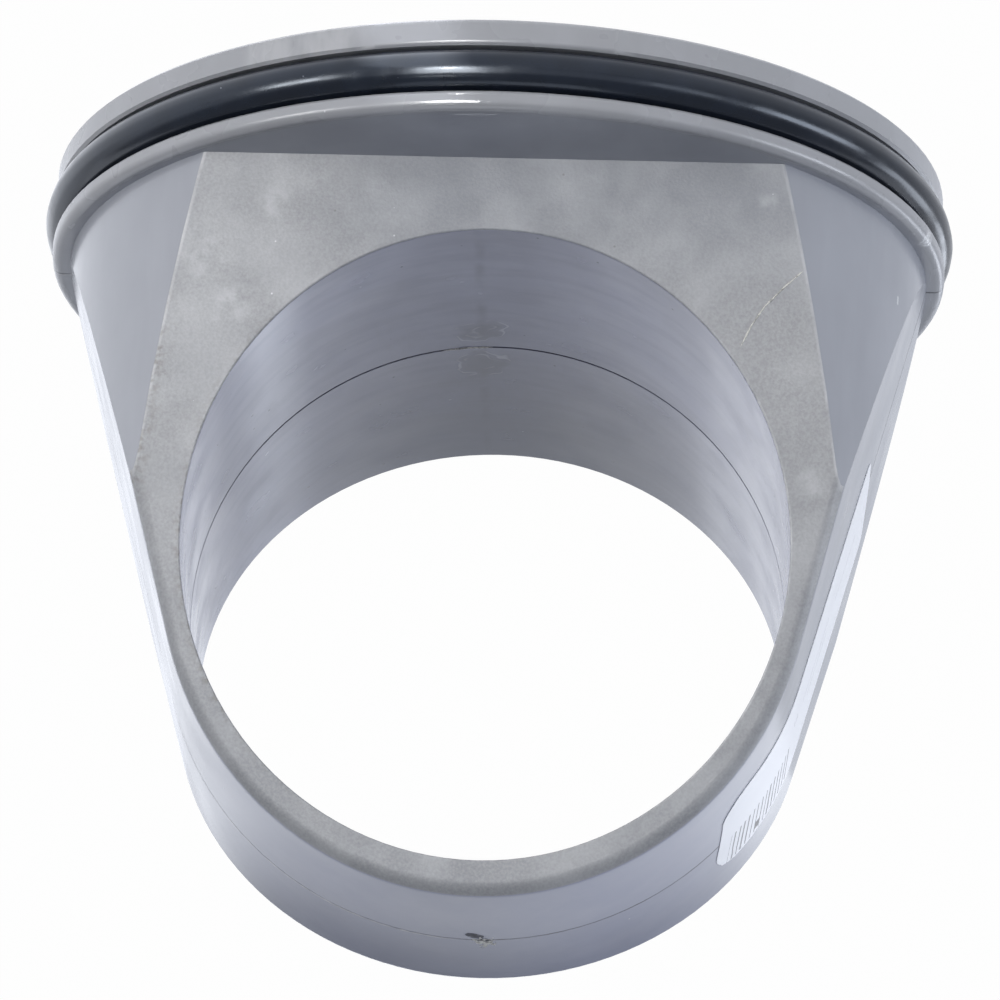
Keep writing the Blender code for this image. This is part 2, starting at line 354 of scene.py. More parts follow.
def spark_textured_upvc(colour, dirt):
    """Spark-eroded end faces: fine matt grain, neutral grey, smudged by dirt."""
    material, tree, shader, coords = new_material("spark_textured_grey_upvc", 1.53, 0.5)
    apart = add(tree, "ShaderNodeSeparateXYZ", {"Vector": coords})
    base = clouded(tree, coords, colour, 16.0, 0.94, 1.05)
    # Grain of about 0.4 mm, drawn a little coarse so that it shows
    grain = clouds(tree, coords, 0.45, 0.0, 1.0, 3.0)
    base = tint(tree, base, grain, "#D2D4D8", 0.24)
    base = tint(tree, base, clouds(tree, coords, 0.8, -0.6, 1.0, 2.0), "#6A6C74", 0.18)
    # Where the marks come in along an axis, from and to, in millimetres
    low, inward, high, lifted, minus_side, plus_side = (
        add(tree, "ShaderNodeMapRange", {
            "Value": apart.outputs[axis], "From Min": start * MM, "From Max": end * MM},
            interpolation_type=fade)
        for axis, start, end, fade in (
            ("Z", 46.0, 20.0, "SMOOTHSTEP"), ("X", 38.0, 8.0, "SMOOTHSTEP"),
            ("Z", 60.0, 115.0, "LINEAR"), ("Z", 36.0, 50.0, "LINEAR"),
            ("X", -30.0, -44.0, "LINEAR"), ("X", 25.0, 45.0, "LINEAR"),
        ))
    # Painted shade: the face is darker towards the disc and away from one corner, where less
    # light falls, and a little darker again towards the crown
    darker = add(tree, "ShaderNodeMath", {0: low, 1: inward}, operation="MULTIPLY")
    base = tint(tree, base, darker, "#7B7F88", 0.68)
    base = tint(tree, base, high, "#7B7F86", 0.24)
    # Rubbed pale patches
    ragged = clouds(tree, coords, 3.0, -0.3, 1.3, 4.0)
    for centre, size in (
        ((50.0, -54.5, 34.0), 4.5), ((44.5, -52.0, 42.0), 3.5), ((38.0, -54.8, 24.5), 3.0),
        ((-47.0, -55.5, 23.0), 1.6), ((-55.6, -42.9, 69.5), 2.4),
    ):
        patch = near_place(tree, coords, centre, size, 0.6 * size, ragged)
        base = tint(tree, base, patch, "#D0D2D6", 0.35)
    # The edge with the turned corner is rubbed pale, and painted lighter as the highlight along its
    # rounding
    cone = add(tree, "ShaderNodeMapRange", {
        "Value": apart.outputs["Z"],
        "From Min": SHOULDER_HEIGHT, "From Max": SHOULDER_HEIGHT + 60.0 * MM,
        "To Min": CORNER_RADIUS, "To Max": CORNER_RADIUS - 60.0 * MM * math.tan(CORNER_DRAFT)})
    to_corner = add(tree, "ShaderNodeMath", {
        0: cone, 1: from_axis(tree, coords, (1.0, 1.0, 0.0))}, operation="SUBTRACT")
    worn_edge_highlight = add(tree, "ShaderNodeMapRange", {
        "Value": to_corner, "From Min": 0.15 * MM, "From Max": 0.4 * MM,
        "To Min": 1.0, "To Max": 0.0})
    worn_edge_highlight = add(tree, "ShaderNodeMath", {
        0: worn_edge_highlight, 1: clouds(tree, coords, 5.0, 0.2, 1.0)}, operation="MULTIPLY")
    base = tint(tree, base, worn_edge_highlight, "#DCDDE0", 0.6)
    # The bore's edge is rubbed pale too, with a painted highlight, on the side towards minus X
    to_bore = add(tree, "ShaderNodeMath", {
        0: from_axis(tree, coords, (1.0, 0.0, 1.0), (0.0, 0.0, BORE_HEIGHT)), 1: BORE_RADIUS,
    }, operation="SUBTRACT")
    worn_edge_highlight = add(tree, "ShaderNodeMapRange", {
        "Value": to_bore, "From Min": 0.2 * MM, "From Max": 0.6 * MM, "To Min": 1.0, "To Max": 0.0})
    for part in (minus_side, clouds(tree, coords, 3.0, 0.1, 1.1)):
        worn_edge_highlight = add(tree, "ShaderNodeMath", {0: worn_edge_highlight, 1: part}, operation="MULTIPLY")
    base = tint(tree, base, worn_edge_highlight, "#E2E3E6", 0.65)
    # Dirt has gathered beside both edges on the other side
    for edge, wide, patch in ((to_corner, 2.4, 1.2), (to_bore, 1.8, 1.0)):
        darkened = add(tree, "ShaderNodeMapRange", {
            "Value": edge, "From Min": 0.3 * MM, "From Max": wide * MM,
            "To Min": 1.0, "To Max": 0.0})
        for part in (plus_side, lifted):
            darkened = add(tree, "ShaderNodeMath", {0: darkened, 1: part}, operation="MULTIPLY")
        ragged = clouds(tree, coords, patch, -0.9, 1.3, 5.0)
        darkened = add(tree, "ShaderNodeMath", {
            0: darkened, 1: ragged}, operation="MULTIPLY", use_clamp=True)
        base = tint(tree, base, darkened, dirt, 0.55)
    # Pale bloom in patches, and specks of dust
    base = tint(tree, base, clouds(tree, coords, 13.0, -0.5, 1.0, 5.0), "#C6C8CC", 0.30)
    base = tint(tree, base, specks(tree, coords, 2.4, 0.14, 0.06), "#E6E7EC", 0.6)
    base = tint(tree, base, specks(tree, coords, 3.0, 0.28, 0.03), "#5A5850", 0.5)
    for centre in ((37.1, -53.3, 31.3), (37.5, -50.9, 40.0), (16.8, -53.6, 29.9)):
        base = tint(tree, base, near_place(tree, coords, centre, 0.14, 0.1), "#F2F3F6", 0.7)
    bump = add(tree, "ShaderNodeBump", {"Height": grain, "Strength": 0.5, "Distance": 0.03 * MM})
    link(tree, shader, {
        "Base Color": base, "Roughness": clouds(tree, coords, 8.0, 0.46, 0.56), "Normal": bump})
    return material


def bore_upvc(colour):
    """Core-moulded bore: satin, with smoky haze, a weld line and streaks that run round it."""
    material, tree, shader, coords = new_material("core_moulded_grey_upvc", 1.53, 0.35)
    apart = add(tree, "ShaderNodeSeparateXYZ", {"Vector": coords})
    base = clouded(tree, coords, colour, 18.0, 0.93, 1.06)
    base = tint(tree, base, clouds(tree, coords, 12.0, -0.5, 1.0, 5.0), "#C2C4D0", 0.12)
    streaks = clouds(tree, coords, 3.6, -0.5, 1.0, 4.0, (0.2, 1.0, 0.2))
    base = tint(tree, base, streaks, "#585A6C", 0.22)
    # Painted shade: the far half is darker on the side next to the disc, where less light reaches
    far_half = add(tree, "ShaderNodeMapRange", {
        "Value": apart.outputs["Y"], "From Min": -8.0 * MM, "From Max": 40.0 * MM})
    next_to_disc = add(tree, "ShaderNodeMapRange", {
        "Value": apart.outputs["Z"], "From Min": 31.0 * MM, "From Max": 54.0 * MM,
        "To Min": 1.0, "To Max": 0.0}, interpolation_type="SMOOTHSTEP")
    painted_bore_shade = add(tree, "ShaderNodeMath", {0: far_half, 1: next_to_disc}, operation="MULTIPLY")
    base = tint(tree, base, painted_bore_shade, "#444A5C", 0.82)
    # The weld line, where the plastic met behind the core
    weld = near_line(tree, apart.outputs["X"], 2.3 * MM, 0.0, 1.5 * MM, fade="SMOOTHSTEP")
    low = add(tree, "ShaderNodeMath", {0: apart.outputs["Z"], 1: 40.0 * MM}, operation="LESS_THAN")
    for part in (low, clouds(tree, coords, 7.0, -0.1, 1.1, 4.0)):
        weld = add(tree, "ShaderNodeMath", {0: weld, 1: part}, operation="MULTIPLY")
    base = tint(tree, base, weld, "#4C4E5C", 0.40)
    # Two swirls where the flow closed on either side of the seam: pale curls in a darker round
    wobble = clouds(tree, coords, 4.5, -0.34, 0.34, 1.0)
    broken = clouds(tree, coords, 5.0, -1.0, 1.6, 1.0)
    for middle_x, middle_y, across, length in ((2.9, -8.0, 4.6, 4.4), (3.2, 8.2, 5.0, 5.4)):
        reach = add(tree, "ShaderNodeMapping", {
            "Vector": coords, "Location": (-middle_x / across, -middle_y / length, 0.0),
            "Scale": (1.0 / (across * MM), 1.0 / (length * MM), 0.0)})
        reach = add(tree, "ShaderNodeVectorMath", {0: reach}, operation="LENGTH")
        reach = add(tree, "ShaderNodeMath", {0: reach, 1: wobble}, operation="ADD")
        swirl = add(tree, "ShaderNodeMapRange", {
            "Value": reach, "From Min": 0.65, "From Max": 1.2, "To Min": 1.0, "To Max": 0.0})
        swirl = add(tree, "ShaderNodeMath", {0: swirl, 1: low}, operation="MULTIPLY")
        base = tint(tree, base, swirl, "#4C4F5C", 0.50)
        for curl, strength in ((1.0, 0.60), (0.55, 0.50)):
            line = near_line(tree, reach, curl, 0.01, 0.08)
            line = add(tree, "ShaderNodeMath", {0: line, 1: low}, operation="MULTIPLY")
            line = add(tree, "ShaderNodeMath", {
                0: line, 1: broken}, operation="MULTIPLY", use_clamp=True)
            base = tint(tree, base, line, "#C4C6CE", strength)
    # The seam between the two cores holds a dark line, painted shade in its groove
    seam = near_line(tree, apart.outputs["Y"], 0.0, 0.2 * MM, 0.38 * MM)
    seam = add(tree, "ShaderNodeMath", {
        0: seam, 1: clouds(tree, coords, 7.0, 0.6, 1.0)}, operation="MULTIPLY")
    base = tint(tree, base, seam, "#26262C", 0.92)
    base = tint(tree, base, specks(tree, coords, 2.6, 0.32, 0.06), "#34343C", 0.8)
    # Shallow ripples run round the bore
    round_way = add(tree, "ShaderNodeMapping", {"Vector": coords, "Scale": (0.4, 1.0, 0.4)})
    ripple = add(tree, "ShaderNodeTexNoise", {
        "Vector": round_way, "Scale": per_mm(5.0), "Detail": 2.0})
    bump = add(tree, "ShaderNodeBump", {"Height": ripple, "Strength": 0.3, "Distance": 0.03 * MM})
    link(tree, shader, {
        "Base Color": base, "Roughness": clouds(tree, coords, 10.0, 0.17, 0.28), "Normal": bump})
    return material


def torn_upvc():
    """Torn or scratched uPVC, whitened where the plastic was stressed."""
    material, tree, shader, coords = new_material("torn_whitened_upvc", 1.53, 0.6)
    base = clouded(tree, coords, linear("#E2E1DC"), 0.5, 0.75, 1.1)
    base = tint(tree, base, clouds(tree, coords, 0.9, -1.2, 1.2), "#3C3A36", 0.75)
    link(tree, shader, {"Base Color": base, "Roughness": clouds(tree, coords, 0.7, 0.5, 0.75)})
    return material


def moulded_rubber(colour):
    """Press-moulded EPDM rubber: satin blue-black with a bloom of dust."""
    material, tree, shader, coords = new_material("press_moulded_black_rubber", 1.45, 0.2)
    link(tree, shader, {"Specular Tint": (0.84, 0.91, 1.0, 1.0)})
    bloom = clouds(tree, coords, 7.0, 0.0, 1.0, 4.0)
    base = tint(tree, (*colour, 1.0), bloom, "#263042", 0.25)
    base = tint(tree, base, specks(tree, coords, 1.8, 0.22, 0.05), "#9BA0AC", 0.6)
    skin = clouds(tree, coords, 0.9, 0.0, 1.0, 2.0)
    bump = add(tree, "ShaderNodeBump", {"Height": skin, "Strength": 0.25, "Distance": 0.012 * MM})
    link(tree, shader, {
        "Base Color": base, "Roughness": clouds(tree, coords, 5.0, 0.14, 0.26), "Normal": bump})
    return material


def label_paper(paper, ink):
    """Coated label paper: smooth white with plain grey bars and strokes, and a dark fleck."""
    material, tree, shader, coords = new_material("coated_label_paper", 1.5, 0.3)
    flat = add(tree, "ShaderNodeTexCoord").outputs["UV"]
    apart = add(tree, "ShaderNodeSeparateXYZ", {"Vector": flat})
    along, across = apart.outputs["X"], apart.outputs["Y"]
    base = clouded(tree, coords, paper, 8.0, 0.98, 1.01)

    def within(field, value, low, high):
        """The part of the field where the value lies between two limits."""
        for limit, side in ((low, "GREATER_THAN"), (high, "LESS_THAN")):
            part = add(tree, "ShaderNodeMath", {0: value, 1: limit}, operation=side)
            field = add(tree, "ShaderNodeMath", {0: field, 1: part}, operation="MULTIPLY")
        return field

    # Each field is start and end along, start and end across, pitch along, and strength
    for start, end, low, high, pitch, strength in (
        (0.655, 0.945, 0.56, 0.97, 0.0205, 0.9),
        (0.60, 0.635, 0.36, 0.42, 0.0110, 0.60),
        (0.34, 0.56, 0.40, 0.46, 0.0110, 0.35),
        (0.34, 0.52, 0.54, 0.60, 0.0130, 0.35),
        (0.10, 0.28, 0.44, 0.49, 0.0120, 0.35),
    ):
        column = add(tree, "ShaderNodeMath", {0: along, 1: pitch}, operation="DIVIDE")
        whole = add(tree, "ShaderNodeMath", {0: column}, operation="FLOOR")
        lot = add(tree, "ShaderNodeTexWhiteNoise", {"W": whole}, noise_dimensions="1D")
        wide = add(tree, "ShaderNodeMapRange", {"Value": lot, "To Min": 0.2, "To Max": 0.4})
        part = add(tree, "ShaderNodeMath", {0: column}, operation="FRACT")
        field = add(tree, "ShaderNodeMath", {0: part, 1: wide}, operation="LESS_THAN")
        field = within(field, along, start, end)
        field = within(field, across, low, high)
        amount = add(tree, "ShaderNodeMath", {0: field, 1: strength}, operation="MULTIPLY")
        base = add(tree, "ShaderNodeMix", {
            "Factor": amount, 6: base, 7: (*ink, 1.0)}, data_type="RGBA")
    # A dark fleck of dirt stuck to the print
    fleck = within(1.0, along, 0.800, 0.822)
    fleck = within(fleck, across, 0.84, 0.94)
    base = tint(tree, base, fleck, "#2C2A30", 0.95)
    link(tree, shader, {"Base Color": base, "Roughness": clouds(tree, coords, 6.0, 0.34, 0.42)})
    return material


# Sizes and colours that a user would change


class PlugSettings(bpy.types.PropertyGroup):
    edge_round: FloatProperty(
        name="Edge round", description="Radius on the crisp edges of the corners and bore",
        default=0.35 * MM, min=0.0, unit="LENGTH")
    seam_width: FloatProperty(
        name="Seam half width", description="Half the width of the groove at the parting line",
        default=0.26 * MM, min=0.0, unit="LENGTH")
    seam_depth: FloatProperty(
        name="Seam depth", description="Depth of the groove at the parting line",
        default=0.13 * MM, min=0.0, unit="LENGTH")
    core_seam_width: FloatProperty(
        name="Core seam half width", description="Half the width of the groove where the cores met",
        default=0.34 * MM, min=0.0, unit="LENGTH")
    core_seam_depth: FloatProperty(
        name="Core seam depth", description="Depth of the groove where the cores met",
        default=0.2 * MM, min=0.0, unit="LENGTH")
    moulded_colour: FloatVectorProperty(
        name="Moulded colour", description="Grey of the glossy moulded walls",
        default=linear("#9DA0A9"), size=3, min=0.0, max=1.0, subtype="COLOR")
    face_colour: FloatVectorProperty(
        name="Face colour", description="Grey of the spark-textured end faces",
        default=linear("#929397"), size=3, min=0.0, max=1.0, subtype="COLOR")
    bore_colour: FloatVectorProperty(
        name="Bore colour", description="Grey inside the bore",
        default=linear("#8F92A6"), size=3, min=0.0, max=1.0, subtype="COLOR")


class RingSettings(bpy.types.PropertyGroup):
    flash_height: FloatProperty(
        name="Flash height", description="How far the ring's mould line stands out",
        default=0.06 * MM, min=0.0, unit="LENGTH")
    colour: FloatVectorProperty(
        name="Rubber colour", description="Blue-black of the rubber",
        default=linear("#0E131D"), size=3, min=0.0, max=1.0, subtype="COLOR")


class LabelSettings(bpy.types.PropertyGroup):
    width: FloatProperty(
        name="Width", description="Width of the label across the wall",
        default=32.0 * MM, min=0.001, unit="LENGTH")
    thickness: FloatProperty(
        name="Thickness", description="Thickness of the paper and its glue",
        default=0.12 * MM, min=0.0, unit="LENGTH")
    paper: FloatVectorProperty(
        name="Paper colour", description="White of the coated paper",
        default=linear("#F7F9FF"), size=3, min=0.0, max=1.0, subtype="COLOR")
    ink: FloatVectorProperty(
        name="Ink colour", description="Grey of the printed bars",
        default=linear("#5E6068"), size=3, min=0.0, max=1.0, subtype="COLOR")


class StudioSettings(bpy.types.PropertyGroup):
    lamp_power: FloatProperty(
        name="Lamp power", description="Power of the soft lamp in front, which the others follow",
        default=4.4, min=0.0, unit="POWER")
    sky_level: FloatProperty(
        name="Sky level", description="How strongly the white room lights the plug",
        default=0.05, min=0.0)
    floor_glow: FloatProperty(
        name="Floor glow", description="How strongly the lit floor lights the plug from below",
        default=0.76, min=0.0, max=1.0)
    floor_colour: FloatVectorProperty(
        name="Floor colour", description="Pale studio floor",
        default=linear("#E8E8E8"), size=3, min=0.0, max=1.0, subtype="COLOR")


# Pieces


def inside(place):
    """Whether a place is in the bore or on its wall."""
    return math.hypot(place.x, place.z - BORE_HEIGHT) < BORE_RADIUS + 0.5 * MM


def outside(place):
    """Whether a place is on the outside of the body, above the shoulder."""
    return not inside(place) and place.z > SHOULDER_HEIGHT - 0.1 * MM


class CLEANOUT_OT_moulded_plug(bpy.types.Operator):
    """Refine a copy of the plug's solid: rounded edges, parting grooves and three finishes."""
    bl_idname = "cleanout.moulded_plug"
    bl_label = "Moulded Plug"

    def execute(self, context):
        settings = context.scene.plug_settings
        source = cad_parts["plug_body"]
        piece = bpy.data.objects.new("moulded_plug", source.data.copy())
        context.scene.collection.objects.link(piece)
        only(piece)
        bpy.ops.mesh.customdata_custom_splitnormals_clear()
        bpy.ops.object.mode_set(mode="EDIT")
        bpy.ops.mesh.select_all(action="SELECT")
        bpy.ops.mesh.remove_doubles(threshold=0.004 * MM)
        bpy.ops.mesh.dissolve_limited(angle_limit=math.radians(0.3))
        self.round_edges(piece, settings)
        self.cut_seam(piece, settings.seam_width, settings.seam_depth, outside)
        self.cut_seam(piece, settings.core_seam_width, settings.core_seam_depth, inside)
        self.lay_finishes(piece, settings)
        finish_piece(piece, 28.0)
        self.crease_corners(piece)
        apply(piece, "WEIGHTED_NORMAL", keep_sharp=True, weight=80)
        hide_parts("plug_body")
        return {"FINISHED"}

    def round_edges(self, piece, settings):
        """Round where the end faces meet the turned corners and the bore."""

        def crisp(edge):
            if len(edge.link_faces) != 2 or not edge.is_convex:
                return False
            flat = [abs(f.normal.y) > math.cos(FACE_LEAN) - 1e-4 for f in edge.link_faces]
            return flat[0] != flat[1] and edge.calc_face_angle() > math.radians(35.0)

        if not pick(piece, "EDGE", crisp):
            raise RuntimeError("no crisp edges were found to round")
        bpy.ops.mesh.bevel(
            offset=settings.edge_round, segments=3, profile=0.5, affect="EDGES",
            clamp_overlap=False)
        leave_edit()

    def cut_seam(self, piece, half_width, depth, belongs):
        """Cut the groove of the parting line into the surfaces that belong to it."""
        for side in (-1, 1):
            pick(piece, "FACE", lambda face: belongs(face.calc_center_median()))
            bpy.ops.mesh.bisect(plane_co=(0.0, side * half_width, 0.0), plane_no=(0.0, 1.0, 0.0))
            leave_edit()

        def on_seam(point):
            return abs(point.co.y) < 1e-6 and belongs(point.co)

        if not pick(piece, "VERT", on_seam):
            raise RuntimeError("the parting line was not found")
        bpy.ops.transform.shrink_fatten(value=-depth)
        leave_edit()

    def crease_corners(self, piece):
        """Keep the shallow edge crisp where the turned corners run into the flared side walls."""

        def on_corner(face):
            return abs(face.normal.z) < 0.06 and face.calc_center_median().z > SHOULDER_HEIGHT

        def on_wall(face):
            return abs(face.normal.x) > 0.9 and face.normal.z > 0.2

        def crease(edge):
            if len(edge.link_faces) != 2:
                return False
            one, other = edge.link_faces
            return (on_corner(one) and on_wall(other)) or (on_corner(other) and on_wall(one))

        if not pick(piece, "EDGE", crease):
            raise RuntimeError("the edges of the turned corners were not found")
        bpy.ops.mesh.mark_sharp()
        leave_edit()

    def lay_finishes(self, piece, settings):
        """Give the walls, the end faces and the bore each their own finish."""
        piece.data.materials.clear()
        piece.data.materials.append(moulded_upvc(settings.moulded_colour))
        piece.data.materials.append(spark_textured_upvc(settings.face_colour, "#68635A"))
        piece.data.materials.append(bore_upvc(settings.bore_colour))

        def on_end(face):
            middle = face.calc_center_median()
            if middle.z < SHOULDER_HEIGHT + 0.05 * MM:
                return False
            if abs(face.normal.y) > math.cos(FACE_LEAN) - 1e-4:
                return True
            behind = (face_y(middle.z) - abs(middle.y)) * math.cos(FACE_LEAN)
            cone = CORNER_RADIUS - (middle.z - SHOULDER_HEIGHT) * math.tan(CORNER_DRAFT)
            on_cone = abs(middle.xy.length - cone) < 0.05 * MM
            return behind < 1.3 * MM and abs(face.normal.y) > 0.3 and not on_cone

        def in_bore(face):
            middle = face.calc_center_median()
            spoke = Vector((middle.x, 0.0, middle.z - BORE_HEIGHT)).normalized()
            return inside(middle) and face.normal.dot(spoke) < -0.8

        for slot_index, test in enumerate((lambda face: True, on_end, in_bore)):
            if not pick(piece, "FACE", test):
                raise RuntimeError("no faces were found for finish %d" % slot_index)
            piece.active_material_index = slot_index
            bpy.ops.object.material_slot_assign()
            leave_edit()


class CLEANOUT_OT_moulding_marks(bpy.types.Operator):
    """Model the ejector pad on the flange, the torn gate, the flash in the bore and the scratch."""
    bl_idname = "cleanout.moulding_marks"
    bl_label = "Moulding Marks"

    def execute(self, context):
        torn = torn_upvc()
        self.ejector_pad()
        self.torn_gate(torn)
        self.bore_flash(torn)
        self.face_scratch(torn)
        return {"FINISHED"}

    def ejector_pad(self):
        """A round pad pressed on to the shoulder and the flange's rounded rim."""
        proud = 0.05 * MM
        bpy.ops.mesh.primitive_cylinder_add(
            vertices=64, radius=4.6 * MM, depth=3.6 * MM, calc_uvs=False,
            location=(3.0 * MM, -79.0 * MM, 15.6 * MM))
        pad = bpy.context.object
        pad.name = "ejector_pad"
        bpy.ops.mesh.primitive_cylinder_add(
            vertices=480, radius=FLANGE_RADIUS + proud, depth=8.0 * MM, calc_uvs=False,
            location=(0.0, 0.0, SHOULDER_HEIGHT + proud - 4.0 * MM))
        rim = bpy.context.object
        apply(
            rim, "BEVEL", width=FLANGE_ROUNDING, segments=12, limit_method="ANGLE",
            use_clamp_overlap=False)
        apply(pad, "BOOLEAN", operation="INTERSECT", solver="EXACT", object=rim)
        bpy.data.objects.remove(rim, do_unlink=True)
        set_material(pad, bpy.data.materials["moulded_grey_upvc"])
        finish_piece(pad)

    def torn_gate(self, torn):
        """A torn stub where the runner was broken off the crown."""
        bpy.ops.mesh.primitive_ico_sphere_add(
            subdivisions=5, radius=1.0 * MM, location=(0.0, 0.0, 0.0))
        stub = bpy.context.object
        stub.name = "torn_gate"
        bpy.ops.object.mode_set(mode="EDIT")
        bpy.ops.mesh.select_all(action="SELECT")
        bpy.ops.transform.resize(value=(2.5, 3.6, 0.5))
        bpy.ops.transform.translate(value=(-0.9 * MM, 1.4 * MM, CROWN_TOP - 0.22 * MM))
        leave_edit()
        rough = bpy.data.textures.new("torn_gate", "CLOUDS")
        rough.noise_scale = 0.9 * MM
        rough.noise_depth = 3
        apply(stub, "DISPLACE", texture=rough, strength=0.9 * MM, mid_level=0.75)
        pick(stub, "VERT", lambda point: point.co.z > CROWN_TOP - 0.01 * MM)
        bpy.ops.transform.resize(
            value=(1.0, 1.0, 0.0), center_override=(0.0, 0.0, CROWN_TOP - 0.01 * MM))
        leave_edit()
        set_material(stub, torn)
        finish_piece(stub)

    def bore_flash(self, torn):
        """A sliver of flash left on the seam, where the cores met."""
        points, swell = [], []
        steps = 14
        for i in range(steps + 1):
            share = i / steps
            x = (0.5 + 9.1 * share) * MM
            z = BORE_HEIGHT - math.sqrt(BORE_RADIUS ** 2 - x ** 2)
            points.append((x, 0.12 * MM * math.sin(9.0 * share), z))
            swell.append(max(0.05, math.sin(math.pi * share) ** 0.7))
        sliver = from_points("bore_flash", points, 0.24 * MM, swell)
        set_material(sliver, torn)
        finish_piece(sliver)

    def face_scratch(self, torn):
        """The burr of a scratch across the front face."""
        path = ((-53.3, 34.4), (-50.2, 37.1), (-46.9, 40.4), (-44.7, 43.6), (-42.2, 48.6))
        points, swell = [], []
        for start, end in zip(path, path[1:]):
            for share in (0.0, 0.25, 0.5, 0.75):
                x = (start[0] + (end[0] - start[0]) * share) * MM
                z = (start[1] + (end[1] - start[1]) * share) * MM
                points.append((x, -face_y(z), z))
                swell.append(0.35 + 0.65 * abs(math.sin(7.3 * len(points))))
        swell[0] = swell[-1] = 0.1
        burr = from_points("face_scratch", points, 0.17 * MM, swell)
        set_material(burr, torn)
        finish_piece(burr)


class CLEANOUT_OT_seal_ring(bpy.types.Operator):
    """Model the rubber seal ring with its mould line."""
    bl_idname = "cleanout.seal_ring"
    bl_label = "Seal Ring"

    def execute(self, context):
        settings = context.scene.ring_settings
        bpy.ops.object.select_all(action="DESELECT")
        bpy.ops.mesh.primitive_torus_add(
            location=(0.0, 0.0, RING_HEIGHT), major_segments=288, minor_segments=48,
            major_radius=RING_RADIUS, minor_radius=RING_TUBE - settings.flash_height)
        ring = context.object
        ring.name = "rubber_seal_ring"
        bpy.ops.object.transform_apply(location=True, rotation=True, scale=True)

        def on_flash(point):
            return abs(point.co.z - RING_HEIGHT) < 1e-6 and point.co.xy.length > RING_RADIUS

        if not pick(ring, "VERT", on_flash):
            raise RuntimeError("the ring's mould line was not found")
        reach = RING_RADIUS + RING_TUBE
        stretch = (reach - 0.01 * MM) / (reach - settings.flash_height)
        bpy.ops.transform.resize(
            value=(stretch, stretch, 1.0), center_override=(0.0, 0.0, RING_HEIGHT))
        leave_edit()
        set_material(ring, moulded_rubber(settings.colour))
        finish_piece(ring, 60.0)
        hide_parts("seal_ring")
        return {"FINISHED"}


class CLEANOUT_OT_paper_label(bpy.types.Operator):
    """Cut a paper label flat, and lay it on the side wall and round the crown."""
    bl_idname = "cleanout.paper_label"
    bl_label = "Paper Label"

    def execute(self, context):
        settings = context.scene.label_settings
        wall_foot = 53.0 * MM
        bend_height = CROWN_CENTRE + OUTER_RADIUS * math.sin(FLARE)
        straight = (bend_height - wall_foot) / math.cos(FLARE)
        length = straight + OUTER_RADIUS * math.tan(math.radians(28.0))
        bpy.ops.object.select_all(action="DESELECT")
        bpy.ops.mesh.primitive_plane_add(size=1.0, location=(0.0, 0.0, 0.0))
        label = context.object
        label.name = "paper_label"
        bpy.ops.object.mode_set(mode="EDIT")
        bpy.ops.mesh.select_all(action="SELECT")
        bpy.ops.transform.resize(value=(length, settings.width, 1.0))
        leave_edit()
        for side, radius in ((-1, 3.0 * MM), (1, 9.0 * MM)):
            pick(label, "VERT", lambda point: point.co.x * side > 0.4 * length)
            bpy.ops.mesh.bevel(offset=radius, segments=8, affect="VERTICES", clamp_overlap=False)
            leave_edit()
        self.slice_up(label, length, settings.width)
        wall_x = OUTER_RADIUS / math.cos(FLARE) + (CROWN_CENTRE - wall_foot) * math.tan(FLARE)
        foot = Vector((-wall_x, 1.0 * MM, wall_foot))
        upward = Vector((math.sin(FLARE), 0.0, math.cos(FLARE)))
        outward = Vector((-math.cos(FLARE), 0.0, math.sin(FLARE)))
        askew = Matrix.Rotation(math.radians(-6.0), 4, "Z")
        pivot = Matrix.Translation((0.25 * length, 0.0, 0.0))
        label.matrix_world = Matrix.LocRotScale(
            foot + upward * length / 2 + outward * 0.5 * MM,
            Matrix((upward, (0.0, 1.0, 0.0), outward)).transposed().to_quaternion(), None,
        ) @ pivot @ askew @ pivot.inverted()
        only(label)
        bpy.ops.object.transform_apply(location=True, rotation=True, scale=True)
        apply(
            label, "SHRINKWRAP", target=bpy.data.objects["moulded_plug"],
            wrap_method="NEAREST_SURFACEPOINT", wrap_mode="ABOVE_SURFACE",
            offset=settings.thickness + 0.02 * MM)
        apply(label, "SOLIDIFY", thickness=settings.thickness, offset=-1.0)
        set_material(label, label_paper(settings.paper, settings.ink))
        finish_piece(label, 40.0)
        return {"FINISHED"}

    def slice_up(self, label, length, width):
        """Cut the flat sheet into strips so that it can bend."""
        for size, direction, count in ((length, (1.0, 0.0, 0.0), 40), (width, (0.0, 1.0, 0.0), 9)):
            for i in range(1, count):
                place = Vector(direction) * size * (i / count - 0.5)
                only(label)
                bpy.ops.object.mode_set(mode="EDIT")
                bpy.ops.mesh.select_all(action="SELECT")
                bpy.ops.mesh.bisect(plane_co=place, plane_no=direction)
                leave_edit()


